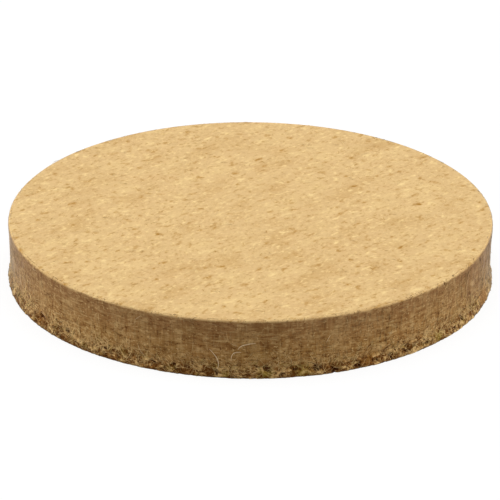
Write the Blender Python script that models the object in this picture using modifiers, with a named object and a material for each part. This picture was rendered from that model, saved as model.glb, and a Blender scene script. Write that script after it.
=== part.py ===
"""Round furniture pad of needled felt, die-cut from thick sheet in one piece.

The knife enters at the top, which leaves a crisp pressed edge there and a wall
that is a little hollow. The last quarter of the thickness tears instead of
shearing, so a ragged lip of fibres stands out round the underside.

Metres, +Z up. The origin is the middle of the underside.
"""

import math

import bpy

# Driving dimensions
PAD_DIAMETER = 0.0508
PAD_THICKNESS = 0.00635

# Sheared wall, above the lip
TOP_EDGE_ROUND = 0.00022
WAIST_DEPTH = 0.0002
DRAG_DEPTH = 0.00008
DRAG_SPACING = 0.0011

# Torn lip, round the underside
LIP_HEIGHT = 0.0016
LIP_STEP = 0.00012
FOOT_STEP = 0.0002
LIP_BELLY = 0.00003
BOTTOM_ROUND = 0.00013
LEDGE_WANDER = 0.0007
WANDER_SPACING = 0.0028
TUFT_DEPTH = 0.00016
TUFT_SIZE = 0.0009
PIT_DEPTH = 0.00045
PIT_SPACING = 0.0017

# Facets
FACETS_ROUND = 300
FACETS_IN_TOP_EDGE = 2
FACETS_IN_WALL = 4
FACETS_IN_LIP = 5
FACETS_IN_BOTTOM_EDGE = 2

# Finish
FELT_COLOUR = (0.77, 0.52, 0.235, 1.0)
FELT_ROUGHNESS = 0.95

PAD_RADIUS = PAD_DIAMETER / 2
WALL_TOP = PAD_THICKNESS - TOP_EDGE_ROUND
WAIST_RADIUS = PAD_RADIUS - WAIST_DEPTH
LIP_RADIUS = WAIST_RADIUS + LIP_STEP
FOOT_RADIUS = WAIST_RADIUS + FOOT_STEP

# The ledge slopes over this share of the lip, and the drag marks fade in over this share of the wall
LEDGE_SHARE = 0.15
DRAG_FADE = 0.25
LIP_TOP = LIP_HEIGHT * (1 - LEDGE_SHARE)

# Textures: how far the streaks are drawn out, how sharp the noise is, where a pit ends and the rim begins
STREAK_LENGTH = 1000
NOISE_DETAIL = 1
NOISE_CONTRAST = 1.6
PIT_FLOOR = 0.05
PIT_RIM = 0.45
BLACK = (0.0, 0.0, 0.0, 1.0)
WHITE = (1.0, 1.0, 1.0, 1.0)
IN_AND_OUT = 0.5
INWARDS = 1.0
WELD_DISTANCE = 0.00001


def clear_scene():
    """Removes the objects that the startup scene holds."""
    for thing in list(bpy.data.objects):
        bpy.data.objects.remove(thing, do_unlink=True)


def make_collection(name):
    """A new collection, linked to the scene."""
    collection = bpy.data.collections.new(name)
    bpy.context.scene.collection.children.link(collection)
    return collection


def felt_material():
    """Plain matt felt in the pad's tan."""
    material = bpy.data.materials.new("needled_felt")
    material.use_nodes = True
    shader = material.node_tree.nodes["Principled BSDF"]
    shader.inputs["Base Color"].default_value = FELT_COLOUR
    shader.inputs["Roughness"].default_value = FELT_ROUGHNESS
    shader.inputs["Metallic"].default_value = 0.0
    material.diffuse_color = FELT_COLOUR
    return material


def quarter_round(centre_x, centre_z, radius, start_degrees, facets):
    """Points of a quarter circle that turns clockwise from the given angle."""
    points = []
    for step in range(facets + 1):
        angle = math.radians(start_degrees - 90 * step / facets)
        x = centre_x + radius * math.cos(angle)
        z = centre_z + radius * math.sin(angle)
        points.append((x, z))
    return points


def waist_points():
    """The sheared wall from the top edge to the ledge: a shallow hollow, deepest low down."""
    points = []
    for step in range(1, FACETS_IN_WALL + 1):
        share = step / FACETS_IN_WALL
        inset = WAIST_DEPTH * math.sin(share * math.pi / 2)
        points.append((PAD_RADIUS - inset, WALL_TOP + share * (LIP_HEIGHT - WALL_TOP)))
    return points


def lip_points():
    """The torn lip from the ledge to the bottom edge: it splays out to the foot and bellies a little."""
    points = []
    for step in range(FACETS_IN_LIP):
        share = step / FACETS_IN_LIP
        splay = share * (FOOT_RADIUS - LIP_RADIUS)
        belly = LIP_BELLY * math.sin(share * math.pi)
        height = LIP_TOP + share * (BOTTOM_ROUND - LIP_TOP)
        points.append((LIP_RADIUS + splay + belly, height))
    return points


def pad_profile():
    """Half the pad's section, from the axis at the top, down the outside, to the axis at the bottom."""
    top_edge = quarter_round(
        PAD_RADIUS - TOP_EDGE_ROUND, WALL_TOP, TOP_EDGE_ROUND, 90, FACETS_IN_TOP_EDGE
    )
    bottom_edge = quarter_round(
        FOOT_RADIUS - BOTTOM_ROUND, BOTTOM_ROUND, BOTTOM_ROUND, 0, FACETS_IN_BOTTOM_EDGE
    )
    outside = top_edge + waist_points() + lip_points() + bottom_edge
    return [(0.0, PAD_THICKNESS)] + outside + [(0.0, 0.0)]


def wall_weight(height):
    """How much the drag marks show: none at the crisp top edge, all from mid-wall down to the lip."""
    if height <= LIP_TOP:
        return 0.0
    fade = (WALL_TOP - height) / (DRAG_FADE * (WALL_TOP - LIP_HEIGHT))
    return min(1.0, max(0.0, fade))


def lip_weight(height):
    """How ragged a height is: all of it in the lip, none at the flat underside or on the wall."""
    if height > LIP_HEIGHT:
        return 0.0
    return min(1.0, height / BOTTOM_ROUND)


def ledge_weight(height):
    """How far the ledge's wander lifts a height: most at the ledge, fading up the wall and down the lip."""
    if height > LIP_HEIGHT:
        return max(0.0, (WALL_TOP - height) / (WALL_TOP - LIP_HEIGHT))
    return height / LIP_HEIGHT


def add_group(pad, name, heights, weight_of):
    """A vertex group whose weights follow each profile point's height."""
    group = pad.vertex_groups.new(name=name)
    for index, height in enumerate(heights):
        group.add([index], weight_of(height), "REPLACE")
    return group


def cloud_texture(name, size):
    """Soft noise with lumps of about this size."""
    texture = bpy.data.textures.new(name, "CLOUDS")
    texture.noise_basis = "IMPROVED_PERLIN"
    texture.noise_scale = size
    texture.noise_depth = NOISE_DETAIL
    texture.contrast = NOISE_CONTRAST
    return texture


def pit_texture(name, spacing):
    """Scattered round hollows, dark at the middle of each cell and white over the rest."""
    texture = bpy.data.textures.new(name, "VORONOI")
    texture.noise_scale = spacing
    texture.use_color_ramp = True
    ramp = texture.color_ramp
    ramp.elements[0].position = PIT_FLOOR
    ramp.elements[0].color = BLACK
    ramp.elements[1].position = PIT_RIM
    ramp.elements[1].color = WHITE
    return texture


def add_displace(pad, name, texture, depth, group, direction="NORMAL", level=IN_AND_OUT, space=None):
    """Moves the grouped points in or out by up to the given depth, following a texture."""
    modifier = pad.modifiers.new(name, "DISPLACE")
    modifier.texture = texture
    modifier.strength = depth
    modifier.mid_level = level
    modifier.direction = direction
    modifier.vertex_group = group.name
    if space is not None:
        modifier.texture_coords = "OBJECT"
        modifier.texture_coords_object = space
    return modifier


def make_streak_space(collection):
    """An empty stretched along Z: a texture read in its space runs up the wall in straight streaks."""
    space = bpy.data.objects.new("streak_space", None)
    space.empty_display_size = PAD_THICKNESS
    space.scale = (1, 1, STREAK_LENGTH)
    collection.objects.link(space)
    return space


def make_pad(collection, guides):
    """The pad: its section turned about Z, then marked by the knife's drag and torn at the lip."""
    profile = pad_profile()
    mesh = bpy.data.meshes.new("felt_pad")
    links = [(index, index + 1) for index in range(len(profile) - 1)]
    mesh.from_pydata([(x, 0.0, z) for x, z in profile], links, [])
    pad = bpy.data.objects.new("felt_pad", mesh)
    collection.objects.link(pad)
    mesh.materials.append(felt_material())

    heights = [z for _, z in profile]
    wall = add_group(pad, "sheared_wall", heights, wall_weight)
    lip = add_group(pad, "torn_lip", heights, lip_weight)
    ledge = add_group(pad, "ledge", heights, ledge_weight)

    turn = pad.modifiers.new("turned_section", "SCREW")
    turn.axis = "Z"
    turn.steps = FACETS_ROUND
    turn.render_steps = FACETS_ROUND
    turn.use_merge_vertices = True
    turn.merge_threshold = WELD_DISTANCE
    turn.use_smooth_shade = False

    streaks = make_streak_space(guides)
    drag = cloud_texture("knife_drag", DRAG_SPACING)
    wander = cloud_texture("tear_line", WANDER_SPACING)
    tufts = cloud_texture("fibre_tufts", TUFT_SIZE)
    pits = pit_texture("tear_outs", PIT_SPACING)
    add_displace(pad, "drag_marks", drag, DRAG_DEPTH, wall, space=streaks)
    add_displace(pad, "wandering_ledge", wander, LEDGE_WANDER, ledge, "Z", space=streaks)
    add_displace(pad, "tufts", tufts, TUFT_DEPTH, lip)
    add_displace(pad, "torn_pits", pits, PIT_DEPTH, lip, level=INWARDS)
    return pad


def main():
    clear_scene()
    parts = make_collection("felt_furniture_pad")
    guides = make_collection("guides")
    make_pad(parts, guides)


main()
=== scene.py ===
"""Felt furniture pad: a disc die-cut from needled felt, its fibres, and the stage it lies on.

The knife enters at the top. Its pressed edge is crisp, the wall below is dragged and
a little hollow, and the last quarter of the thickness tears into a ragged lip.

Metres, +Z up. The origin is the middle of the underside.
"""

import math
import random
from collections import namedtuple

import bmesh
import bpy
from bpy.props import FloatProperty, FloatVectorProperty, IntProperty, PointerProperty
from mathutils import Matrix, Vector, noise


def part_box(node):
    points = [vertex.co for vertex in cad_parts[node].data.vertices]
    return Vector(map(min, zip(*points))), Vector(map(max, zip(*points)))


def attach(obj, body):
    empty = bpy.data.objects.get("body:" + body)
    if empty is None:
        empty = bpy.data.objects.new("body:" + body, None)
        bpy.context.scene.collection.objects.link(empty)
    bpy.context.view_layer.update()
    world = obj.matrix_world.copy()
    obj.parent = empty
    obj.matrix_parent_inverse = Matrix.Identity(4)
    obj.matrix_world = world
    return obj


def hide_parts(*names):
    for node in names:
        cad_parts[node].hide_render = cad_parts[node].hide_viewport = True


bl_info = {
    "name": "Felt furniture pad",
    "version": (1, 0, 0),
    "blender": (4, 5, 0),
    "location": "3D View > Sidebar > Felt pad",
    "description": "Models a die-cut disc of needled felt with its torn lip and loose fibres",
    "category": "Object",
}

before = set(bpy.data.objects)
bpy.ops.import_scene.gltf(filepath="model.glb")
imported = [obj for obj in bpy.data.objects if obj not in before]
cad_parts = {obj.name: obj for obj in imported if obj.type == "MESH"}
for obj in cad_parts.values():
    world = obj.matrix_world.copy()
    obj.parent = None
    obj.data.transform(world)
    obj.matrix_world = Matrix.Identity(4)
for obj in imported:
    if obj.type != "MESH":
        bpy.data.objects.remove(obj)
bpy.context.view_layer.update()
CAD_LOW, CAD_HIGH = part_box("felt_pad")

MM = 0.001
# Any number that isn't whole: it tells the cells of a pattern apart
CELL_HASH = 7.3
# How much fainter and finer each further layer of soft noise is
LUMP_FALL = 1.0
LUMP_STEP = 2.0
TURN = 2 * math.pi
BODY = "root"

# The disc's mesh: rings and rows, and columns that double further out
FIRST_COLUMNS = 120
DOUBLE_AT = (5.0 * MM, 10.0 * MM, 20.0 * MM)
FACE_RING = 0.32 * MM
UNDERSIDE_RING = 0.7 * MM
WALL_ROW = 0.2 * MM
LIP_ROW = 0.12 * MM
EDGE_STEPS = 3
WELD = 0.001 * MM

# The faces: pressed flat, with a faint nap
NAP_SPACING = 0.7 * MM
NAP_DEPTH = 0.015 * MM
DIMPLE_SPACING = 2.6 * MM
DIMPLE_DEPTH = 0.03 * MM
GRAIN_ANGLE = math.radians(45)

# The sheared wall: marks that run straight up it
DRAG_SPACING = 0.55 * MM
DRAG_LENGTH = 6.0 * MM
DRAG_DEPTH = 0.035 * MM
DRAG_FADE = 0.3
# How far below the top face the wall takes on its own colour
CUT_BLEND = 0.3 * MM
WOBBLE_SPACING = 7.0 * MM
WOBBLE_DEPTH = 0.03 * MM

# The ledge, where shearing ended: it wanders, and the felt under it is drawn in here and there
LEDGE_SPACING = 3.4 * MM
LEDGE_WANDER = 0.4 * MM
NIBBLE_SPACING = 0.8 * MM
NIBBLE_DEPTH = 0.22 * MM
LEDGE_SLOPE = 0.6 * MM
UNDERCUT_SPACING = 1.6 * MM
UNDERCUT_FROM = 0.15
UNDERCUT_TO = 0.6
UNDERCUT_DEPTH = 0.14 * MM
UNDERCUT_REACH = 0.5 * MM
# How much painted shade the felt drawn in under the ledge takes
UNDERCUT_SHADE = 0.5

# The torn lip: clumps of fibres with cracks between, some of them torn right out
CLUMP_SPACING = 1.15 * MM
CLUMP_STRETCH = 1.8
CLUMP_BULGE = 0.03 * MM
STRAY_SPACING = 0.5 * MM
STRAY_REACH = 0.35 * MM
FRAY_SPACING = 0.16 * MM
FRAY_REACH = 0.1 * MM
TUFT_SPACING = 0.4 * MM
TUFT_DEPTH = 0.04 * MM
CRACK_WIDTH = 0.18
CRACK_DEPTH = 0.06 * MM
PIT_DEPTH = 0.28 * MM
PIT_CHANCE = 0.06
PIT_SLOPE = 0.32
PITS_FROM = 0.1 * MM
PITS_TO = 0.9 * MM
# Painted highlight on clumps and tufts that stand out, and painted shade in the cracks between them
CLUMP_HIGHLIGHT_SHARE = 0.5
TUFT_HIGHLIGHT_SHARE = 1.1
CRACK_SHADE_SHARE = 0.85
# The lip stands out less at its left and right ends: by how much, and how fast that fades round the edge
END_SQUEEZE = 0.15 * MM
END_FADE = 16

# The tear-outs that show best, and two nicks in the wall. Each has a bearing in degrees, and a height and
# half a width in millimetres
TEAR_OUTS = (
    (-147.8, 1.1, 0.75),
    (-140.5, 1.6, 0.4),
    (-137.4, 1.1, 0.55),
    (-125.3, 0.9, 0.35),
    (-112.6, 0.85, 0.5),
    (-97.9, 0.75, 0.5),
    (-86.6, 0.95, 0.55),
    (-82.5, 0.4, 0.45),
    (-79.5, 0.75, 0.5),
    (-74.5, 0.6, 0.55),
    (-70.3, 0.4, 0.55),
    (-65.0, 0.4, 0.5),
    (-60.0, 0.6, 0.45),
    (-56.0, 0.75, 0.55),
    (-50.5, 0.45, 0.5),
    (-44.5, 0.5, 0.5),
    (-34.5, 0.45, 0.45),
    (-38.8, 3.9, 0.25),
    (-38.6, 6.1, 0.22),
    (-30.5, 0.9, 0.4),
    (-28.6, 1.5, 0.4),
)
# How much wider than high they are, and the share of their width that is at full depth
TEAR_STRETCH = 2.2
TEAR_FLOOR = 0.3

# The stains of the lip that show best: bearing in degrees, and height and reach in millimetres
MOSS_STAINS = (
    (-95.5, 0.25, 0.7),
    (-86.5, 0.35, 1.2),
    (-78.0, 0.45, 1.5),
    (-40.5, 0.5, 0.9),
)
RUST_STAINS = (
    (-148.0, 0.95, 1.3),
    (-61.0, 0.7, 1.6),
    (-17.0, 0.7, 2.4),
)
STAIN_TINT = 0.65

# Fibres: three sides and a few steps each, because there are thousands
FIBRE_SIDES = 3
FIBRE_STEPS = 4
HAIR_STEPS = 14
# Tone runs from 0, dark, to 1, pale. A few fibres are thick and either dark or pale
TONE_VARIETY = 0.2
TORN_VARIETY = 0.26
ACCENT_SHARE = 0.06
TORN_ACCENTS = 0.25
ACCENT_WIDTH = 1.6
PLAIN_TONES = (0.4, 0.6)
# How thin a fibre is at its ends, as a share of its middle
TIP_SHARE = 0.5

# How fibres lie. A pair holds the least and the most, a swing is how far headings stray in radians, and a
# bend is how much fibres curve in radians a metre. Rises and sinks without a unit are in fibre radii
PRESSED_LENGTH = (0.3 * MM, 1.2 * MM)
PRESSED_SWING = 0.9
PRESSED_BEND = 0.7 / MM
PRESSED_SINK = 0.9
FLAT_SHARE = 0.88
FLAT_RISE = (0.3, 1.0)
PROUD_RISE = (1.0, 2.4)
WALL_SINK = 0.5
DRAGGED_LENGTH = (0.4 * MM, 1.9 * MM)
DRAGGED_BEND = 0.25 / MM
DRAGGED_RISE = (0.2, 1.4)
UPRIGHT_SHARE = 0.45
UPRIGHT_SWING = 0.15
LEVEL_SWING = 0.25
TORN_LENGTH = (0.5 * MM, 1.6 * MM)
TORN_BEND = 1.0 / MM
TORN_RISE = (0.0, 0.04 * MM)
FRAYED_LENGTH = (0.4 * MM, 1.2 * MM)
FRAYED_BEND = 0.9 / MM
FRAYED_RISE = (0.0, 0.015 * MM)
FRAYED_SWING = 0.5
HAIR_LENGTH = (0.6 * MM, 1.4 * MM)
HAIR_BEND = 0.7 / MM
HAIR_RISE = (0.06 * MM, 0.2 * MM)

# Where fibres start. Dragged ones: from this share of the lip's height to this far below the top
DRAGGED_FROM = 0.9
DRAGGED_BELOW = 0.2 * MM
# Torn ones: the lowest height, the commonest, and how far above the lip the highest is
TORN_FROM = 0.03 * MM
TORN_MOSTLY = 0.5 * MM
TORN_ABOVE = 0.9 * MM
# Frayed ones: at least this far below the top, and a mean and spread more
FRAYED_BELOW = 0.1 * MM
FRAYED_DROP = (0.2 * MM, 0.12 * MM)
# Hairs: between these shares of the thickness
HAIR_BETWEEN = (0.3, 1)

# A torn fibre's tone: how much paler than the middle it is, and how much clumps and pits move it, as
# painted highlight and painted shade
TORN_SHIFT = 0.46
CLUMP_HIGHLIGHT_SHIFT = 0.8
PIT_SHADE_SHIFT = 2.2

# The hairs that show best: millimetres along the wall from the front and up of the points that steer each
FRONT_HAIRS = (
    ((-4.1, 3.0), (-3.3, 2.3), (-2.9, 1.5), (-3.3, 0.9)),
    ((-1.9, 1.8), (-1.9, 2.95), (-1.4, 2.95), (-0.85, 2.8)),
    ((-1.2, 3.1), (-0.95, 3.8), (-0.3, 3.85), (0.6, 3.85)),
)
FAINT_HAIRS = (
    ((-11.8, 2.3), (-11.6, 1.6), (-10.9, 1.1)),
    ((-2.35, 5.0), (-2.3, 4.5), (-2.15, 4.0)),
    ((2.6, 1.1), (3.1, 1.5), (2.8, 2.2)),
)


def length(name, description, default):
    """A size that the sidebar shows as a length."""
    return FloatProperty(name=name, description=description, default=default, unit="LENGTH", precision=5)


def angle(name, description, degrees):
    """An angle that the sidebar shows in degrees."""
    return FloatProperty(name=name, description=description, default=math.radians(degrees), subtype="ANGLE")


def count(name, description, default):
    """A number of fibres."""
    return IntProperty(name=name, description=description, default=default, min=1)


def linear(hex_colour):
    """An sRGB hex colour as the linear values that shaders take."""
    parts = [int(hex_colour[i : i + 2], 16) / 255 for i in (1, 3, 5)]
    return tuple(p / 12.92 if p <= 0.04045 else ((p + 0.055) / 1.055) ** 2.4 for p in parts)


def colour(name, description, hex_colour):
    """A colour that the sidebar shows as a swatch."""
    return FloatVectorProperty(
        name=name, description=description, default=linear(hex_colour), subtype="COLOR", min=0, max=1
    )


class FeltPadSizes(bpy.types.PropertyGroup):
    """Sizes of the cut disc."""

    diameter: length("Diameter", "Across the crisp edge at the top", 50.8 * MM)
    thickness: length("Thickness", "Of the felt sheet", CAD_HIGH.z - CAD_LOW.z)
    top_round: length("Top edge", "Radius of the pressed edge at the top", 0.26 * MM)
    foot_round: length("Foot", "Radius of the edge at the underside", 0.05 * MM)
    waist: length("Waist", "How far the sheared wall is hollow", 0.2 * MM)
    lip_height: length("Lip height", "Height at which the felt stopped shearing and tore", 1.4 * MM)
    lip_step: length("Lip step", "How far the lip stands out of the waist at the ledge", -0.02 * MM)
    foot_step: length("Foot step", "How far the lip stands out of the waist at the foot", 0.42 * MM)


class FeltPadFibres(bpy.types.PropertyGroup):
    """Sizes and numbers of the fibres."""

    radius: length("Radius", "Of one fibre", 0.022 * MM)
    hair_radius: length("Hair radius", "Of the long hairs that show best", 0.052 * MM)
    face: count("Face", "Fibres pressed into the top face", 7000)
    underside: count("Underside", "Fibres pressed into the underside", 3200)
    wall: count("Wall", "Fibres dragged along the sheared wall", 5200)
    lip: count("Lip", "Fibres torn loose at the lip", 5600)
    rim: count("Rim", "Short fibres along the top edge", 500)
    hairs: count("Hairs", "Long hairs that stand off the wall", 24)
    seed: IntProperty(name="Seed", description="Another scatter of the fibres", default=7)


class FeltPadColours(bpy.types.PropertyGroup):
    """Colours of the felt as it is, before light falls on it, except the painted shade on the upper wall,
    in the pits and at the foot.
    """

    face: colour("Face", "Most of the pressed face", "#E7C287")
    face_pale: colour("Pale fleck", "Palest fibres of the face", "#FFDE9C")
    face_dark: colour("Dark fleck", "Darkest fibres of the face", "#BA8633")
    face_warm: colour("Warm patch", "Patches of the face that lean to peach", "#EDBB80")
    face_olive: colour("Yellow patch", "Patches of the face that lean to yellow", "#DDB968")
    cut: colour("Cut", "Most of the cut wall", "#A97D45")
    cut_pale: colour("Pale cut fibre", "Palest fibres of the wall", "#DCB87E")
    # Also the painted shade in the lip's cracks
    cut_dark: colour("Dark cut fibre", "Darkest fibres of the wall", "#64390A")
    # Painted shade laid over the top of the wall, which catches less light from the floor
    upper_wall_shade: colour("Dense cut", "Top of the wall, where the knife pressed the felt", "#7C5440")
    hair: colour("Hair", "Long hairs that stand off the wall", "#F8DCB0")
    cut_warm: colour("Warm cut patch", "Patches of the wall that lean to red", "#AA7142")
    cut_olive: colour("Olive cut patch", "Patches of the wall that lean to olive", "#9A7C32")
    # Also the painted highlight on tufts that stand out
    torn_pale: colour("Pale torn fibre", "Palest fibres of the lip", "#EEC888")
    # Painted shade in the torn pits and under the ledge; also the darkest tone of the lip's pattern and
    # fibres
    pit: colour("Pit", "Depths of the torn pits", "#4A1E00")
    # Painted contact shadow along the foot, where the lip meets the floor
    foot: colour("Foot", "Edge of the lip that rests on the floor", "#6C5A3C")
    fuzz: colour("Fuzz", "Fibre ends that catch the light edge on", "#FFF0DC")
    rust: colour("Rust", "Rusty patches of the torn lip", "#A86414")
    moss: colour("Moss", "Yellow-green patches of the torn lip", "#A08A30")
    paper: colour("Floor", "The floor under the pad", "#CDCDCD")


class FeltPadStage(bpy.types.PropertyGroup):
    """The camera and the floor."""

    floor_width: length("Floor", "Width of the floor", 3.0)
    camera_distance: length("Camera distance", "From the middle of the pad", 0.508)
    camera_height: angle("Camera height", "Angle of the camera above the floor", 24.7)
    camera_roll: angle("Camera roll", "How far the camera leans", 0.33)


def smooth_step(low, high, value):
    """0 up to low, 1 from high on, and a smooth slope between. High may be below low."""
    share = min(1.0, max(0.0, (value - low) / (high - low)))
    return share * share * (3 - 2 * share)


def lumps(point, spacing, layers=1):
    """Soft noise from about -1 to 1, with lumps of this spacing."""
    return noise.fractal(point / spacing, LUMP_FALL, LUMP_STEP, layers)


# What the skin is like at a place: how far it stands off the plain cylinder, how torn it is, how deep
# in a pit (both from 0 to 1), and how pale, from -1 in a crack to 1 on a clump that stands out
# Pit and pale are painted light: painted shade in pits and cracks, and painted highlight on clumps that
# stand out
Skin = namedtuple("Skin", "stand_off torn pit pale")


# Blender's vector noise follows the clock until it is given a seed other than 0
NOISE_SEED = 7


class Form:
    """The shape of the pad's skin, which the disc and every fibre on it share."""

    def __init__(self, sizes):
        noise.seed_set(NOISE_SEED)
        self.radius = sizes.diameter / 2
        self.top = sizes.thickness
        self.top_round = sizes.top_round
        self.foot_round = sizes.foot_round
        self.waist = sizes.waist
        self.lip_height = sizes.lip_height
        self.lip_step = sizes.lip_step
        self.foot_step = sizes.foot_step
        self.tear_outs = [
            (self.strayed(math.radians(degrees), height * MM), half_width * MM)
            for degrees, height, half_width in TEAR_OUTS
        ]

    def rounding(self, height):
        """How far the plain section draws in at its two rounded edges."""
        above = height - (self.top - self.top_round)
        if above > 0:
            return self.top_round - math.sqrt(max(0.0, self.top_round**2 - above**2))
        below = self.foot_round - height
        if below > 0:
            return self.foot_round - math.sqrt(max(0.0, self.foot_round**2 - below**2))
        return 0.0

    def on_cylinder(self, bearing, height):
        """The point of the plain cylinder at a bearing and height."""
        return Vector((math.cos(bearing) * self.radius, math.sin(bearing) * self.radius, height))

    def ledge(self, bearing):
        """The height at which shearing ended: a line that wanders."""
        here = self.on_cylinder(bearing, 0)
        wander = LEDGE_WANDER * lumps(here, LEDGE_SPACING, 2)
        return self.lip_height + wander + NIBBLE_DEPTH * lumps(here, NIBBLE_SPACING)

    def strayed(self, bearing, height):
        """A point of the cylinder moved off at random, which frays the outlines drawn with it."""
        here = self.on_cylinder(bearing, height)
        stray = noise.noise_vector(here / STRAY_SPACING) * STRAY_REACH
        return here + stray + noise.noise_vector(here / FRAY_SPACING) * FRAY_REACH

    def clump(self, bearing, height):
        """The clump here: its bulge, from -1 to 1, how near a crack is, and how far it is gone."""
        here = self.strayed(bearing, height)
        here.z *= CLUMP_STRETCH
        distances, centres = noise.voronoi(here / CLUMP_SPACING)
        clearance = distances[1] - distances[0]
        bulge, chance, _ = noise.cell_vector(centres[0] * CELL_HASH)
        crack = 1 - smooth_step(0, CRACK_WIDTH, clearance)
        middle = centres[0].z * CLUMP_SPACING / CLUMP_STRETCH
        gone = chance < PIT_CHANCE * smooth_step(PITS_FROM, PITS_TO, middle)
        return 2 * bulge - 1, crack, smooth_step(0, PIT_SLOPE, clearance) if gone else 0.0

    def tear_out(self, bearing, height):
        """How deep one of the listed tear-outs is here, from 0 to 1."""
        here = self.strayed(bearing, height)
        out = Vector((math.cos(bearing), math.sin(bearing), 0))
        deepest = 0.0
        for middle, half_width in self.tear_outs:
            away = here - middle
            away -= out * away.dot(out)
            away.z *= TEAR_STRETCH
            deepest = max(deepest, 1 - smooth_step(TEAR_FLOOR, 1, away.length / half_width))
        return deepest

    def skin(self, bearing, height):
        """What the wall is like at a bearing and height."""
        here = self.on_cylinder(bearing, height)
        drawn_out = self.on_cylinder(bearing, height * DRAG_SPACING / DRAG_LENGTH)
        share = min(1.0, max(0.0, (self.top - height) / (self.top - self.lip_height)))
        wobble = WOBBLE_DEPTH * lumps(here, WOBBLE_SPACING)
        drag = DRAG_DEPTH * lumps(drawn_out, DRAG_SPACING, 2) * smooth_step(0, DRAG_FADE, share)
        sheared = drag - self.waist * math.sin(share * math.pi / 2)
        ledge = self.ledge(bearing)
        tear_out = self.tear_out(bearing, height)
        torn = max(tear_out, 1 - smooth_step(ledge - LEDGE_SLOPE, ledge, height))
        if torn == 0:
            return Skin(wobble + sheared, 0.0, 0.0, 0.0)
        bulge, crack, gone = self.clump(bearing, height)
        gone = max(gone, tear_out)
        near_ledge = 1 - smooth_step(0, UNDERCUT_REACH, ledge - height)
        drawn_in = near_ledge * smooth_step(UNDERCUT_FROM, UNDERCUT_TO, lumps(here, UNDERCUT_SPACING, 2))
        splay = self.foot_step + (self.lip_step - self.foot_step) * min(1.0, height / self.lip_height)
        splay -= END_SQUEEZE * math.cos(bearing) ** END_FADE
        tuft = lumps(here, TUFT_SPACING, 2)
        raised = CLUMP_BULGE * bulge + TUFT_DEPTH * tuft - CRACK_DEPTH * crack
        lip = splay - self.waist + raised - PIT_DEPTH * gone - UNDERCUT_DEPTH * drawn_in
        # Painted shade in pits and under the ledge, painted highlight on clumps and tufts, and painted
        # shade in cracks
        pit = max(gone, UNDERCUT_SHADE * drawn_in) * torn
        pale = (CLUMP_HIGHLIGHT_SHARE * bulge + TUFT_HIGHLIGHT_SHARE * tuft - CRACK_SHADE_SHARE * crack) * torn
        return Skin(wobble + sheared + (lip - sheared) * torn, torn, pit, pale)

    def nap(self, x, y):
        """How far the nap of a face stands off its plane."""
        here = Vector((x, y, 0))
        return NAP_DEPTH * lumps(here, NAP_SPACING, 2) + DIMPLE_DEPTH * lumps(here, DIMPLE_SPACING)

    def on_wall(self, along, height, lift):
        """A point on the wall and the way out of it, from the distance round the pad and the height."""
        height = min(self.top, max(0.0, height))
        bearing = along / self.radius
        out = Vector((math.cos(bearing), math.sin(bearing), 0))
        reach = self.radius - self.rounding(height) + self.skin(bearing, height).stand_off + lift
        return out * reach + Vector((0, 0, height)), out

    def on_face(self, x, y, lift):
        """A point on the top face and the way out of it, kept inside the edge."""
        inside = min(1.0, (self.radius - self.top_round) / max(math.hypot(x, y), WELD))
        x, y = x * inside, y * inside
        return Vector((x, y, self.top + self.nap(x, y) + lift)), Vector((0, 0, 1))

    def on_underside(self, x, y, lift):
        """A point on the underside and the way out of it, never below the floor's level."""
        inside = min(1.0, (self.radius - self.foot_round) / max(math.hypot(x, y), WELD))
        x, y = x * inside, y * inside
        return Vector((x, y, max(0.0, abs(self.nap(x, y)) - lift))), Vector((0, 0, -1))


def spread(start, end, pitch):
    """Values from start to end, about a pitch apart."""
    steps = max(1, round(abs(end - start) / pitch))
    return [start + (end - start) * step / steps for step in range(steps + 1)]


def half_section(form):
    """The plain half section, from the axis over the top edge and down the wall to the axis below."""
    radius, top = form.radius, form.top
    lip_top = form.lip_height + LEDGE_WANDER + NIBBLE_DEPTH
    points = [(r, top) for r in spread(0, radius - form.top_round, FACE_RING)]
    for step in range(1, EDGE_STEPS):
        height = top - form.top_round * (1 - math.cos(math.pi / 2 * step / EDGE_STEPS))
        points.append((radius - form.rounding(height), height))
    points += [(radius, z) for z in spread(top - form.top_round, lip_top, WALL_ROW)]
    points += [(radius, z) for z in spread(lip_top, form.foot_round, LIP_ROW)[1:]]
    for step in range(1, EDGE_STEPS):
        height = form.foot_round * (1 - math.sin(math.pi / 2 * step / EDGE_STEPS))
        points.append((radius - form.rounding(height), height))
    return points + [(r, 0) for r in spread(radius - form.foot_round, 0, UNDERSIDE_RING)]


def from_axis(vert):
    """A vertex's distance from the pad's axis."""
    return math.hypot(vert.co.x, vert.co.y)


def split_columns(bm, columns, limit):
    """Doubles the columns outside a radius, with the new points on the same circles."""
    rings = []
    for edge in bm.edges:
        one, other = edge.verts
        level = abs(one.co.z - other.co.z) < WELD
        same_circle = abs(from_axis(one) - from_axis(other)) < WELD
        if level and same_circle and from_axis(one) > limit:
            rings.append(edge)
    split = bmesh.ops.subdivide_edges(bm, edges=rings, cuts=1, use_grid_fill=True)
    fresh = [part for part in split["geom_inner"] if isinstance(part, bmesh.types.BMVert)]
    outwards = 1 / math.cos(math.pi / columns)
    bmesh.ops.scale(bm, verts=fresh, vec=(outwards, outwards, 1))


def plain_disc(form):
    """The smooth disc: its half section spun about Z, with more columns further out."""
    bm = bmesh.new()
    points = [bm.verts.new((r, 0, z)) for r, z in half_section(form)]
    edges = [bm.edges.new(pair) for pair in zip(points, points[1:])]
    bmesh.ops.spin(
        bm,
        geom=points + edges,
        cent=(0, 0, 0),
        axis=(0, 0, 1),
        angle=TURN,
        steps=FIRST_COLUMNS,
        use_merge=True,
    )
    bmesh.ops.remove_doubles(bm, verts=bm.verts, dist=WELD)
    columns = FIRST_COLUMNS
    for limit in DOUBLE_AT:
        split_columns(bm, columns, limit)
        columns *= 2
    bmesh.ops.recalc_face_normals(bm, faces=bm.faces)
    return bm


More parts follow.
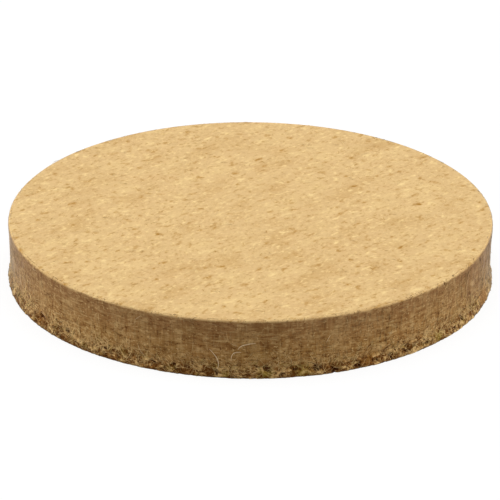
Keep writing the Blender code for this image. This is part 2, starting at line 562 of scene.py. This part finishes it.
def raise_skin(bm, form):
    """Gives the plain disc its nap, drag marks and torn lip, and notes where it is cut or torn."""
    layers = bm.verts.layers.float
    cut_layer = layers.new("cut")
    torn_layer = layers.new("torn")
    pit_layer = layers.new("pit")
    pale_layer = layers.new("pale")
    for vert in bm.verts:
        x, y, z = vert.co
        r = from_axis(vert)
        if r < form.radius - form.top_round and z > form.top - WELD:
            vert.co.z += form.nap(x, y)
        elif r < form.radius - form.foot_round and z < WELD:
            vert.co.z += abs(form.nap(x, y))
        else:
            skin = form.skin(math.atan2(y, x), z)
            vert[cut_layer] = smooth_step(form.top, form.top - CUT_BLEND, z)
            vert[torn_layer] = skin.torn
            vert[pit_layer] = skin.pit
            vert[pale_layer] = skin.pale
            vert.co.x *= 1 + skin.stand_off / r
            vert.co.y *= 1 + skin.stand_off / r


def finish_piece(name, bm, material):
    """Turns a bmesh into a piece of the pad that rides with it."""
    mesh = bpy.data.meshes.new(name)
    bm.to_mesh(mesh)
    bm.free()
    mesh.materials.append(material)
    mesh.shade_smooth()
    piece = bpy.data.objects.new(name, mesh)
    bpy.context.scene.collection.objects.link(piece)
    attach(piece, BODY)
    return piece


def curled(start, heading, reach, bend, steps=FIBRE_STEPS):
    """A route over a surface that sets off along a heading and bends evenly."""
    u, v = start
    stride = reach / steps
    route = [(u, v)]
    for _ in range(steps):
        u += stride * math.cos(heading)
        v += stride * math.sin(heading)
        heading += bend * stride
        route.append((u, v))
    return route


def drawn_through(points, steps=HAIR_STEPS):
    """A smooth route through a few points: a Bezier curve that they steer."""
    route = []
    for step in range(steps + 1):
        share = step / steps
        pull = [Vector(point) for point in points]
        while len(pull) > 1:
            pull = [one.lerp(other, share) for one, other in zip(pull, pull[1:])]
        route.append(tuple(pull[0]))
    return route


class Fibre:
    """One fibre: the points that it runs through, the way out of the felt at each, and its tone.

    Lift is how far its ends stand off the felt, and raised how much further its middle does.
    """

    def __init__(self, surface, route, lift, raised, radius, tone):
        self.radius = radius
        self.tone = tone
        self.steps = len(route) - 1
        places = []
        for step, (u, v) in enumerate(route):
            share = step / self.steps
            places.append(surface(u, v, raised * math.sin(math.pi * share) + lift))
        self.points = [point for point, _ in places]
        self.outs = [out for _, out in places]

    def corner(self, step, side):
        """One corner of the fibre's section at a step. It thins towards both ends."""
        behind = self.points[max(0, step - 1)]
        ahead = self.points[min(self.steps, step + 1)]
        along = (ahead - behind).normalized()
        across = along.cross(self.outs[step]).normalized()
        out = across.cross(along)
        radius = self.radius * (TIP_SHARE + (1 - TIP_SHARE) * math.sin(math.pi * step / self.steps))
        turn = TURN * side / FIBRE_SIDES
        return self.points[step] + (across * math.cos(turn) + out * math.sin(turn)) * radius


def grow_fibres(name, fibres, material):
    """Grows all the fibres at once: each step extrudes every tip and moves it on along its own fibre."""
    bm = bmesh.new()
    which = bm.verts.layers.int.new("fibre")
    side_of = bm.verts.layers.int.new("side")
    tone = bm.verts.layers.float.new("tone")
    out = bm.verts.layers.float_vector.new("out")
    tips = []
    for index, fibre in enumerate(fibres):
        root = []
        for side in range(FIBRE_SIDES):
            vert = bm.verts.new(fibre.corner(0, side))
            vert[which] = index
            vert[side_of] = side
            vert[tone] = fibre.tone
            vert[out] = fibre.outs[0]
            root.append(vert)
        tips.append(bm.faces.new(root))
    for step in range(1, fibres[0].steps + 1):
        # With their edges given too, the old tips are deleted, so that none stays inside the fibre
        rims = [edge for tip in tips for edge in tip.edges]
        grown = bmesh.ops.extrude_face_region(bm, geom=tips + rims)["geom"]
        tips = [part for part in grown if isinstance(part, bmesh.types.BMFace)]
        for part in grown:
            if isinstance(part, bmesh.types.BMVert):
                part.co = fibres[part[which]].corner(step, part[side_of])
                part[out] = fibres[part[which]].outs[step]
    bm.verts.layers.int.remove(bm.verts.layers.int["fibre"])
    bm.verts.layers.int.remove(bm.verts.layers.int["side"])
    bmesh.ops.recalc_face_normals(bm, faces=bm.faces)
    mesh = finish_piece(name, bm, material).data
    # Fibres lie so close that light meets them as it meets the felt under them
    mesh.normals_split_custom_set_from_vertices([way.vector for way in mesh.attributes["out"].data])
    mesh.attributes.remove(mesh.attributes["out"])


def add_node(tree, kind, inputs=None, stops=None, **settings):
    """Adds a node. Settings are its own properties, and inputs hold a value or a socket to link."""
    node = tree.nodes.new(kind)
    for name, value in settings.items():
        setattr(node, name, value)
    for key, value in (inputs or {}).items():
        if isinstance(value, bpy.types.NodeSocket):
            tree.links.new(value, node.inputs[key])
        else:
            node.inputs[key].default_value = value
    if stops:
        ramp = node.color_ramp
        while len(ramp.elements) < len(stops):
            ramp.elements.new(1.0)
        for element, (position, value) in zip(ramp.elements, stops):
            element.position = position
            element.color = (*value, 1)
    return node


# Sockets of a Mix node that mixes colours
SHARE, FIRST, SECOND, MIXED = 0, 6, 7, 2

# A layer of the patterns that the disc and its fibres share: its size along each axis in millimetres, its
# turn about Z and its detail, then how far from the middle value it starts to show and is full, and how
# strongly it darkens below the middle and pales above it
Layer = namedtuple("Layer", "size turn detail edge dark pale")
# Edges of layers: soft ones show nearly everywhere, and the others only where their pattern peaks
SOFT = (0.04, 0.2)
CRISP = (0.09, 0.16)
SPARSE = (0.13, 0.22)
PATCHY = (0.08, 0.24)
FLECKED = (0.07, 0.24)
FACE_CLOUDS = Layer((5.0, 2.6, 2.6), GRAIN_ANGLE, 1, SOFT, 0.22, 0.24)
FACE_MOTTLE = Layer((1.3, 0.8, 0.8), GRAIN_ANGLE, 3, PATCHY, 0.98, 1.15)
FACE_FLECKS = Layer((0.46, 0.34, 0.34), GRAIN_ANGLE, 3, FLECKED, 0.62, 0.88)
WALL_BANDS = Layer((1.3, 1.3, 9.0), 0, 1, SOFT, 0.2, 0.18)
WALL_MOTTLE = Layer((1.0, 1.0, 0.6), 0, 3, SOFT, 0.74, 0.64)
WALL_SCRATCHES = Layer((0.2, 0.2, 2.4), 0, 2, SOFT, 0.35, 0.3)
WALL_LAYERS = Layer((1.3, 1.3, 0.17), 0, 3, SOFT, 0.6, 0.55)
WALL_SPECKS = Layer((0.3, 0.3, 0.2), 0, 1, SPARSE, 1.0, 0.9)
LIP_MASSES = Layer((1.6, 1.6, 0.8), 0, 2, SOFT, 0.2, 0.25)
LIP_TANGLE = Layer((0.8, 0.8, 0.32), 0, 3, SOFT, 0.62, 0.75)
LIP_STRANDS = Layer((0.4, 0.4, 0.14), 0, 3, CRISP, 0.95, 0.95)
MIDDLE = 0.5

# Patches of blended wool: sizes in millimetres, how strongly they tint, and the noise values where they
# start and are full
FACE_PATCH = (2.8, 2.8, 2.8)
WALL_PATCH = (3.0, 3.0, 2.0)
LIP_PATCH = (1.2, 1.2, 0.8)
FACE_TINT = 0.08
WALL_TINT = 0.14
LIP_TINT = 0.45
WARM_BETWEEN = (0.52, 0.72)
OLIVE_BETWEEN = (0.48, 0.28)

# Painted shade: the wall is darkened towards the top, which catches less light from the floor: the heights
# between which it turns, and by how much
UPPER_SHADE_BETWEEN = (2.6 * MM, 5.8 * MM)
UPPER_SHADE_SHARE = 0.38
# Down the wall its pattern grows rougher: the heights between which it does, and its share at the top
ROUGH_BETWEEN = (1.6 * MM, 5.4 * MM)
SMOOTH_SHARE = 0.6
# Painted contact shadow: the foot is darkened where it meets the floor: the heights between which it turns,
# and by how much
FOOT_SHADOW_BETWEEN = (0.24 * MM, 0.04 * MM)
FOOT_SHADOW_SHARE = 0.75
# How strongly the mesh's own attributes show as painted highlight on tufts and painted shade in cracks and
# pits: where they start, where they are full, and how strong then
TUFT_HIGHLIGHT_MIX = (0.0, 0.7, 0.85)
CRACK_SHADE_MIX = (0.0, -0.6, 0.95)
PIT_SHADE_MIX = (0.05, 0.5, 0.95)
NOISE_ROUGHNESS = 0.55
GRAIN_SIZE = (0.3, 0.3, 0.22)
GRAIN_STRENGTH = 0.6
GRAIN_DEPTH = 0.05 * MM


def new_material(name, **shader_inputs):
    """A node material with its shader wired to the output. Returns it, its node tree and its shader."""
    material = bpy.data.materials.new(name)
    material.use_nodes = True
    tree = material.node_tree
    tree.nodes.clear()
    shader = add_node(tree, "ShaderNodeBsdfPrincipled", shader_inputs)
    add_node(tree, "ShaderNodeOutputMaterial", {"Surface": shader.outputs[0]})
    return material, tree, shader


# Fibre ends stand out of the cut wall, so it looks paler edge on; the pressed face does so much less
PRESSED_SHEEN = 0.4
CUT_SHEEN = 1.0
TORN_SHEEN = 0.55
FELT_FINISH = {"Roughness": 0.95, "Specular IOR Level": 0.1, "Sheen Roughness": 0.3}


def felt_finish(colours):
    """How matt felt is, and the warm veil of fibre ends over it."""
    return FELT_FINISH | {"Sheen Tint": opaque(colours.fuzz)}


def noise_at(tree, where, size, turn=0.0, detail=2.0):
    """Noise drawn out to a size in millimetres along each axis and turned about Z. Returns its socket."""
    mapping = add_node(
        tree,
        "ShaderNodeMapping",
        {"Vector": where, "Rotation": (0, 0, turn), "Scale": [part * MM for part in size]},
        vector_type="TEXTURE",
    )
    pattern = add_node(
        tree,
        "ShaderNodeTexNoise",
        {"Vector": mapping.outputs[0], "Scale": 1.0, "Detail": detail, "Roughness": NOISE_ROUGHNESS},
    )
    return pattern.outputs[0]


def opaque(rgb):
    """A colour with the alpha that a socket takes."""
    return (*rgb, 1)


def tinted(tree, under, rgb, pattern, low, high, most):
    """Lays a colour over another as a pattern runs from low to high. Returns the new colour's socket."""
    share = add_node(
        tree, "ShaderNodeMapRange", {"Value": pattern, "From Min": low, "From Max": high, "To Max": most}
    )
    layered = add_node(
        tree,
        "ShaderNodeMix",
        {SHARE: share.outputs[0], FIRST: under, SECOND: opaque(rgb)},
        data_type="RGBA",
    )
    return layered.outputs[MIXED]


def layered(tree, where, under, layer, dark, pale):
    """Darkens and pales a colour with one layer of a pattern. Returns the new colour's socket."""
    pattern = noise_at(tree, where, layer.size, layer.turn, layer.detail)
    start, full = layer.edge
    shaded = tinted(tree, under, dark, pattern, MIDDLE - start, MIDDLE - full, layer.dark)
    return tinted(tree, shaded, pale, pattern, MIDDLE + start, MIDDLE + full, layer.pale)


def patched(tree, where, under, warm, olive, size, most):
    """Tints a colour in patches, as blended wool does. Returns the new colour's socket."""
    pattern = noise_at(tree, where, size)
    warmed = tinted(tree, under, warm, pattern, *WARM_BETWEEN, most)
    return tinted(tree, warmed, olive, pattern, *OLIVE_BETWEEN, most)


def pressed_look(tree, where, under, colours):
    """The face's pattern over a colour: soft clouds and mottles, and small crisp flecks along the grain."""
    face = patched(tree, where, under, colours.face_warm, colours.face_olive, FACE_PATCH, FACE_TINT)
    for layer in (FACE_CLOUDS, FACE_MOTTLE, FACE_FLECKS):
        face = layered(tree, where, face, layer, colours.face_dark, colours.face_pale)
    return face


def cut_look(tree, where, under, colours):
    """The wall's pattern over a colour: painted shade towards the top, bands and scratches that run up it,
    level layers and specks.
    """
    height = add_node(tree, "ShaderNodeSeparateXYZ", {"Vector": where}).outputs["Z"]
    plain = patched(tree, where, under, colours.cut_warm, colours.cut_olive, WALL_PATCH, WALL_TINT)
    # Painted shade: darker towards the top of the wall
    plain = tinted(tree, plain, colours.upper_wall_shade, height, *UPPER_SHADE_BETWEEN, UPPER_SHADE_SHARE)
    plain = layered(tree, where, plain, WALL_BANDS, colours.cut_dark, colours.cut_pale)
    marked = plain
    for layer in (WALL_MOTTLE, WALL_SCRATCHES, WALL_LAYERS, WALL_SPECKS):
        marked = layered(tree, where, marked, layer, colours.cut_dark, colours.cut_pale)
    rough = {"Value": height, "From Min": ROUGH_BETWEEN[0], "From Max": ROUGH_BETWEEN[1]}
    rough |= {"To Min": 1.0, "To Max": SMOOTH_SHARE}
    share = add_node(tree, "ShaderNodeMapRange", rough)
    both = {SHARE: share.outputs[0], FIRST: plain, SECOND: marked}
    return add_node(tree, "ShaderNodeMix", both, data_type="RGBA").outputs[MIXED]


def torn_look(tree, where, under, colours):
    """The lip's pattern over a colour: patches of rust and moss, tangled strands and a painted contact
    shadow along the foot.
    """
    height = add_node(tree, "ShaderNodeSeparateXYZ", {"Vector": where}).outputs["Z"]
    lip = patched(tree, where, under, colours.rust, colours.moss, LIP_PATCH, LIP_TINT)
    for layer in (LIP_MASSES, LIP_TANGLE, LIP_STRANDS):
        lip = layered(tree, where, lip, layer, colours.pit, colours.torn_pale)
    form = Form(bpy.context.scene.felt_pad_sizes)
    for stains, rgb in ((MOSS_STAINS, colours.moss), (RUST_STAINS, colours.rust)):
        for degrees, above, reach in stains:
            middle = form.on_cylinder(math.radians(degrees), above * MM)
            away = add_node(tree, "ShaderNodeVectorMath", {0: where, 1: middle}, operation="DISTANCE")
            lip = tinted(tree, lip, rgb, away.outputs["Value"], reach * MM, 0.0, STAIN_TINT)
    # Painted contact shadow at the foot
    return tinted(tree, lip, colours.foot, height, *FOOT_SHADOW_BETWEEN, FOOT_SHADOW_SHARE)


def needled_felt(colours):
    """Needled wool felt: matt, mottled where it was pressed, dark and streaky where fibre ends show."""
    material, tree, shader = new_material("needled_felt", **felt_finish(colours))
    where = add_node(tree, "ShaderNodeTexCoord").outputs["Object"]
    noted = {
        name: add_node(tree, "ShaderNodeAttribute", attribute_name=name).outputs["Fac"]
        for name in ("cut", "torn", "pit", "pale")
    }
    face = pressed_look(tree, where, opaque(colours.face), colours)
    sheared = cut_look(tree, where, opaque(colours.cut), colours)

    # The tear: stains, then painted highlight on tufts and painted shade in cracks and pits
    torn = torn_look(tree, where, opaque(colours.cut), colours)
    sides = {SHARE: noted["torn"], FIRST: sheared, SECOND: torn}
    wall = add_node(tree, "ShaderNodeMix", sides, data_type="RGBA").outputs[MIXED]
    wall = tinted(tree, wall, colours.torn_pale, noted["pale"], *TUFT_HIGHLIGHT_MIX)
    wall = tinted(tree, wall, colours.cut_dark, noted["pale"], *CRACK_SHADE_MIX)
    # Painted shade in the pits and under the ledge
    wall = tinted(tree, wall, colours.pit, noted["pit"], *PIT_SHADE_MIX)

    both = {SHARE: noted["cut"], FIRST: face, SECOND: wall}
    skin = add_node(tree, "ShaderNodeMix", both, data_type="RGBA")
    tree.links.new(skin.outputs[MIXED], shader.inputs["Base Color"])
    fuzz = {"Value": noted["cut"], "To Min": PRESSED_SHEEN, "To Max": CUT_SHEEN}
    sheen = add_node(tree, "ShaderNodeMapRange", fuzz)
    tree.links.new(sheen.outputs[0], shader.inputs["Sheen Weight"])
    grain = noise_at(tree, where, GRAIN_SIZE)
    relief = {"Height": grain, "Strength": GRAIN_STRENGTH, "Distance": GRAIN_DEPTH}
    bump = add_node(tree, "ShaderNodeBump", relief)
    tree.links.new(bump.outputs[0], shader.inputs["Normal"])
    return material


def wool_fibre(name, stops, look, colours, sheen=CUT_SHEEN):
    """One wool fibre: a soft matt strand, whose tone runs through the stops under the pattern round it."""
    material, tree, shader = new_material(name, **felt_finish(colours) | {"Sheen Weight": sheen})
    tone = add_node(tree, "ShaderNodeAttribute", attribute_name="tone").outputs["Fac"]
    strand = add_node(tree, "ShaderNodeValToRGB", {"Fac": tone}, stops).outputs["Color"]
    if look:
        where = add_node(tree, "ShaderNodeTexCoord").outputs["Object"]
        strand = look(tree, where, strand, colours)
    tree.links.new(strand, shader.inputs["Base Color"])
    return material


def some_strand(rng, radius, shift=0.0, variety=TONE_VARIETY, accents=ACCENT_SHARE):
    """A fibre's radius and tone. Most are alike, moved by a shift, and a few are thick and stand out."""
    if rng.random() < accents:
        return radius * ACCENT_WIDTH, min(1.0, max(0.0, rng.choice((-MIDDLE, MIDDLE)) + MIDDLE + shift))
    return radius, min(1.0, max(0.0, rng.gauss(MIDDLE + shift, variety)))


def tones(dark, plain, pale):
    """The stops of a fibre's colour from its darkest tone to its palest, plain over the middle."""
    low, high = PLAIN_TONES
    return (0.0, dark), (low, plain), (high, plain), (1.0, pale)


def set_up(scene):
    """The form that fibres grow on, their settings and the colours."""
    return Form(scene.felt_pad_sizes), scene.felt_pad_fibres, scene.felt_pad_colours


class FELT_PAD_OT_disc(bpy.types.Operator):
    """Models the cut disc with its waist, ledge and torn lip"""

    bl_idname = "felt_pad.disc"
    bl_label = "Disc"

    def execute(self, context):
        form = Form(context.scene.felt_pad_sizes)
        bm = plain_disc(form)
        raise_skin(bm, form)
        disc = finish_piece("felt_disc", bm, needled_felt(context.scene.felt_pad_colours))
        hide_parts("felt_pad")
        return {"FINISHED"}


class FELT_PAD_OT_pressed_fibres(bpy.types.Operator):
    """Lays fibres into the top face and the underside, pressed flat along the grain"""

    bl_idname = "felt_pad.pressed_fibres"
    bl_label = "Pressed fibres"

    def execute(self, context):
        form, settings, colours = set_up(context.scene)
        stops = tones(colours.face_dark, colours.face, colours.face_pale)
        material = wool_fibre("pressed_wool_fibre", stops, pressed_look, colours, PRESSED_SHEEN)
        rng = random.Random(settings.seed)

        def pressed(surface):
            """A short fibre pressed into a face. A few stand a little proud."""
            r = form.radius * math.sqrt(rng.random())
            bearing = TURN * rng.random()
            raised = rng.uniform(*(FLAT_RISE if rng.random() < FLAT_SHARE else PROUD_RISE))
            return Fibre(
                surface,
                curled(
                    (r * math.cos(bearing), r * math.sin(bearing)),
                    rng.gauss(GRAIN_ANGLE, PRESSED_SWING) + math.pi * rng.randint(0, 1),
                    rng.uniform(*PRESSED_LENGTH),
                    rng.gauss(0, PRESSED_BEND),
                ),
                -PRESSED_SINK * settings.radius,
                raised * settings.radius,
                *some_strand(rng, settings.radius),
            )

        above = [pressed(form.on_face) for _ in range(settings.face)]
        below = [pressed(form.on_underside) for _ in range(settings.underside)]
        grow_fibres("face_fibres", above, material)
        grow_fibres("underside_fibres", below, material)
        return {"FINISHED"}


class FELT_PAD_OT_cut_fibres(bpy.types.Operator):
    """Lays dragged fibres up the wall, torn ones in the lip and short frayed ones along the rim"""

    bl_idname = "felt_pad.cut_fibres"
    bl_label = "Cut fibres"

    def execute(self, context):
        form, settings, colours = set_up(context.scene)
        stops = tones(colours.cut_dark, colours.cut, colours.cut_pale)
        cut_wool = wool_fibre("cut_wool_fibre", stops, cut_look, colours)
        stops = tones(colours.pit, colours.cut, colours.torn_pale)
        torn_wool = wool_fibre("torn_wool_fibre", stops, torn_look, colours, TORN_SHEEN)
        rng = random.Random(settings.seed + 1)
        around = TURN * form.radius

        def laid(start, heading, reach, bend, raised, *variety):
            """A fibre half sunk in the wall, whose middle rises off it."""
            route = curled(start, heading, rng.uniform(*reach), rng.gauss(0, bend))
            strand = some_strand(rng, settings.radius, *variety)
            return Fibre(form.on_wall, route, -WALL_SINK * settings.radius, raised, *strand)

        def dragged():
            """A fibre that the knife drew up the wall, or one of the felt's level layers."""
            upright = math.pi / 2 + rng.gauss(0, UPRIGHT_SWING)
            level = rng.gauss(0, LEVEL_SWING)
            raised = rng.uniform(*DRAGGED_RISE) * settings.radius
            lowest = form.lip_height * DRAGGED_FROM
            start = (rng.random() * around, rng.uniform(lowest, form.top - DRAGGED_BELOW))
            heading = upright if rng.random() < UPRIGHT_SHARE else level
            return laid(start, heading, DRAGGED_LENGTH, DRAGGED_BEND, raised)

        def torn():
            """A fibre that came loose in the lip: it curls, and takes its tone from its clump, with painted
            highlight on clumps and painted shade in pits.
            """
            along = rng.random() * around
            height = rng.triangular(TORN_FROM, form.lip_height + TORN_ABOVE, TORN_MOSTLY)
            skin = form.skin(along / form.radius, height)
            raised = rng.uniform(*TORN_RISE)
            shift = TORN_SHIFT + CLUMP_HIGHLIGHT_SHIFT * skin.pale - PIT_SHADE_SHIFT * skin.pit
            variety = (shift, TORN_VARIETY, TORN_ACCENTS)
            return laid((along, height), rng.uniform(0, TURN), TORN_LENGTH, TORN_BEND, raised, *variety)

        def frayed():
            """A short fibre that lies along the top edge and blurs it."""
            raised = rng.uniform(*FRAYED_RISE)
            along = rng.random() * around
            height = form.top - (FRAYED_BELOW + abs(rng.gauss(*FRAYED_DROP)))
            heading = rng.gauss(0, FRAYED_SWING) + math.pi * rng.randint(0, 1)
            return laid((along, height), heading, FRAYED_LENGTH, FRAYED_BEND, raised)

        grow_fibres("wall_fibres", [dragged() for _ in range(settings.wall)], cut_wool)
        grow_fibres("lip_fibres", [torn() for _ in range(settings.lip)], torn_wool)
        grow_fibres("rim_fibres", [frayed() for _ in range(settings.rim)], cut_wool)
        return {"FINISHED"}


class FELT_PAD_OT_stray_hairs(bpy.types.Operator):
    """Hangs a few long pale hairs on the wall, the ones in front where they show best"""

    bl_idname = "felt_pad.stray_hairs"
    bl_label = "Stray hairs"

    def execute(self, context):
        form, settings, colours = set_up(context.scene)
        stops = ((0.0, colours.cut_pale), (1.0, colours.hair))
        material = wool_fibre("stray_wool_hair", stops, None, colours)
        rng = random.Random(settings.seed + 2)
        front = -math.pi / 2 * form.radius

        def placed(points):
            """The route of a hair placed one by one."""
            return drawn_through([(front + along * MM, height * MM) for along, height in points])

        routes = [placed(points) for points in FAINT_HAIRS]
        for _ in range(settings.hairs):
            start = (rng.random() * TURN * form.radius, rng.uniform(*HAIR_BETWEEN) * form.top)
            reach = rng.uniform(*HAIR_LENGTH)
            routes.append(curled(start, rng.uniform(0, TURN), reach, rng.gauss(0, HAIR_BEND), HAIR_STEPS))

        def loose(route, radius, tone):
            """A hair on a route, with its middle clear of the wall."""
            return Fibre(form.on_wall, route, radius, rng.uniform(*HAIR_RISE), radius, tone)

        hairs = [loose(placed(points), settings.hair_radius, 1.0) for points in FRONT_HAIRS]
        hairs += [loose(route, settings.radius, rng.random()) for route in routes]
        grow_fibres("stray_hairs", hairs, material)
        return {"FINISHED"}


class FELT_PAD_OT_stage(bpy.types.Operator):
    """Lays the floor, and sets the lights and the camera"""

    bl_idname = "felt_pad.stage"
    bl_label = "Stage"

    def execute(self, context):
        scene = context.scene
        make_floor(scene.felt_pad_stage, scene.felt_pad_colours)
        make_lights()
        make_world(scene)
        make_camera(scene, scene.felt_pad_stage, scene.felt_pad_sizes)
        scene.view_settings.view_transform = "Standard"
        return {"FINISHED"}


WHITE = (1, 1, 1)
# Light is measured so that 1 lights a surface to its own colour
WORLD_LIGHT = 0.4
# What the camera sees of the floor: a faint matt part, which keeps the shadow, and an even glow
FLOOR_LIT_SHARE = 0.14
FLOOR_GLOW = 0.89
LAMPS = {
    # name: (place, width, height, light on a surface that faces it)
    "overhead": ((0.0, 0.05, 0.55), 0.4, 0.4, 0.47),
    "left": ((-0.55, 0.12, 0.1), 0.3, 0.2, 0.52),
    "right": ((0.55, 0.0, 0.1), 0.3, 0.2, 0.46),
}


def seen_directly(tree):
    """1 for rays that show the background itself: from the camera, in a gloss or through glass."""
    path = add_node(tree, "ShaderNodeLightPath")
    direct = path.outputs["Is Camera Ray"]
    for other in ("Is Glossy Ray", "Is Transmission Ray"):
        direct = add_node(
            tree, "ShaderNodeMath", {0: direct, 1: path.outputs[other]}, operation="MAXIMUM"
        ).outputs[0]
    return direct


def end_tree(tree, output, lit, shown):
    """Ends a node tree with one shader for the light that it gives and another for what is seen of it."""
    both = {0: seen_directly(tree), 1: lit.outputs[0], 2: shown.outputs[0]}
    add_node(tree, output, {"Surface": add_node(tree, "ShaderNodeMixShader", both).outputs[0]})


def make_floor(stage, colours):
    """A pale matt floor that looks white to the camera and keeps the pad's shadow."""
    bm = bmesh.new()
    bmesh.ops.create_grid(bm, x_segments=1, y_segments=1, size=stage.floor_width / 2)
    mesh = bpy.data.meshes.new("floor")
    bm.to_mesh(mesh)
    bm.free()
    floor = bpy.data.objects.new("floor", mesh)
    bpy.context.scene.collection.objects.link(floor)
    material = bpy.data.materials.new("pale_paper")
    material.use_nodes = True
    tree = material.node_tree
    tree.nodes.clear()
    matt = add_node(tree, "ShaderNodeBsdfDiffuse", {"Color": opaque(colours.paper)})
    lit = add_node(tree, "ShaderNodeBsdfDiffuse", {"Color": opaque((FLOOR_LIT_SHARE,) * 3)})
    glow = add_node(tree, "ShaderNodeEmission", {"Strength": FLOOR_GLOW})
    shown = add_node(tree, "ShaderNodeAddShader", {0: lit.outputs[0], 1: glow.outputs[0]})
    end_tree(tree, "ShaderNodeOutputMaterial", matt, shown)
    mesh.materials.append(material)


def make_lights():
    """Soft lamps: one overhead for the face, and one at each side for the ends of the wall."""
    for name, (place, width, height, light) in LAMPS.items():
        lamp = bpy.data.lights.new(name, "AREA")
        lamp.shape = "RECTANGLE"
        lamp.size = width
        lamp.size_y = height
        lamp.energy = light * math.pi**2 * Vector(place).length_squared
        holder = bpy.data.objects.new(name, lamp)
        holder.location = place
        holder.rotation_euler = (-Vector(place)).to_track_quat("-Z", "Y").to_euler()
        holder.visible_camera = False
        bpy.context.scene.collection.objects.link(holder)


def make_world(scene):
    """An even pale room that looks white to the camera."""
    world = bpy.data.worlds.new("pale_room")
    world.use_nodes = True
    tree = world.node_tree
    tree.nodes.clear()
    room = add_node(tree, "ShaderNodeBackground", {"Color": opaque(WHITE), "Strength": WORLD_LIGHT})
    white = add_node(tree, "ShaderNodeBackground", {"Color": opaque(WHITE), "Strength": 1.0})
    end_tree(tree, "ShaderNodeOutputWorld", room, white)
    scene.world = world


SENSOR = 36.0
LENS = 347.9
NEAREST_SEEN = 0.01
# How far right of and below the pad's middle the camera aims, in metres
AIM_RIGHT = -0.037 * MM
AIM_BELOW = 0.606 * MM


def make_camera(scene, stage, sizes):
    """A long lens that looks down on the pad."""
    camera = bpy.data.cameras.new("camera")
    camera.sensor_width = SENSOR
    camera.lens = LENS
    camera.clip_start = NEAREST_SEEN
    holder = bpy.data.objects.new("camera", camera)
    scene.collection.objects.link(holder)
    turn = Matrix.Rotation(math.pi / 2 - stage.camera_height, 4, "X")
    right, up, back = (turn.to_3x3().col[axis] for axis in range(3))
    middle = Vector((0, 0, sizes.thickness / 2))
    aim = middle + right * AIM_RIGHT - up * AIM_BELOW
    place = Matrix.Translation(aim + back * stage.camera_distance)
    holder.matrix_world = place @ turn @ Matrix.Rotation(stage.camera_roll, 4, "Z")
    scene.camera = holder


class FELT_PAD_PT_panel(bpy.types.Panel):
    """The felt pad's sizes, fibres, colours and stage"""

    bl_idname = "FELT_PAD_PT_panel"
    bl_label = "Felt pad"
    bl_space_type = "VIEW_3D"
    bl_region_type = "UI"
    bl_category = "Felt pad"

    def draw(self, context):
        for group in SETTINGS:
            box = self.layout.box()
            settings = getattr(context.scene, group)
            for name in settings.__annotations__:
                box.prop(settings, name)
        for operator in OPERATORS:
            self.layout.operator(operator.bl_idname)


OPERATORS = (
    FELT_PAD_OT_disc,
    FELT_PAD_OT_pressed_fibres,
    FELT_PAD_OT_cut_fibres,
    FELT_PAD_OT_stray_hairs,
    FELT_PAD_OT_stage,
)
SETTINGS = {
    "felt_pad_sizes": FeltPadSizes,
    "felt_pad_fibres": FeltPadFibres,
    "felt_pad_colours": FeltPadColours,
    "felt_pad_stage": FeltPadStage,
}


def register():
    for group, kind in SETTINGS.items():
        bpy.utils.register_class(kind)
        setattr(bpy.types.Scene, group, PointerProperty(type=kind))
    for kind in (*OPERATORS, FELT_PAD_PT_panel):
        bpy.utils.register_class(kind)


def unregister():
    for kind in (FELT_PAD_PT_panel, *reversed(OPERATORS)):
        bpy.utils.unregister_class(kind)
    for group, kind in reversed(SETTINGS.items()):
        delattr(bpy.types.Scene, group)
        bpy.utils.unregister_class(kind)


def main():
    register()
    bpy.ops.felt_pad.disc()
    bpy.ops.felt_pad.pressed_fibres()
    bpy.ops.felt_pad.cut_fibres()
    bpy.ops.felt_pad.stray_hairs()
    bpy.ops.felt_pad.stage()


if __name__ == "__main__":
    main()
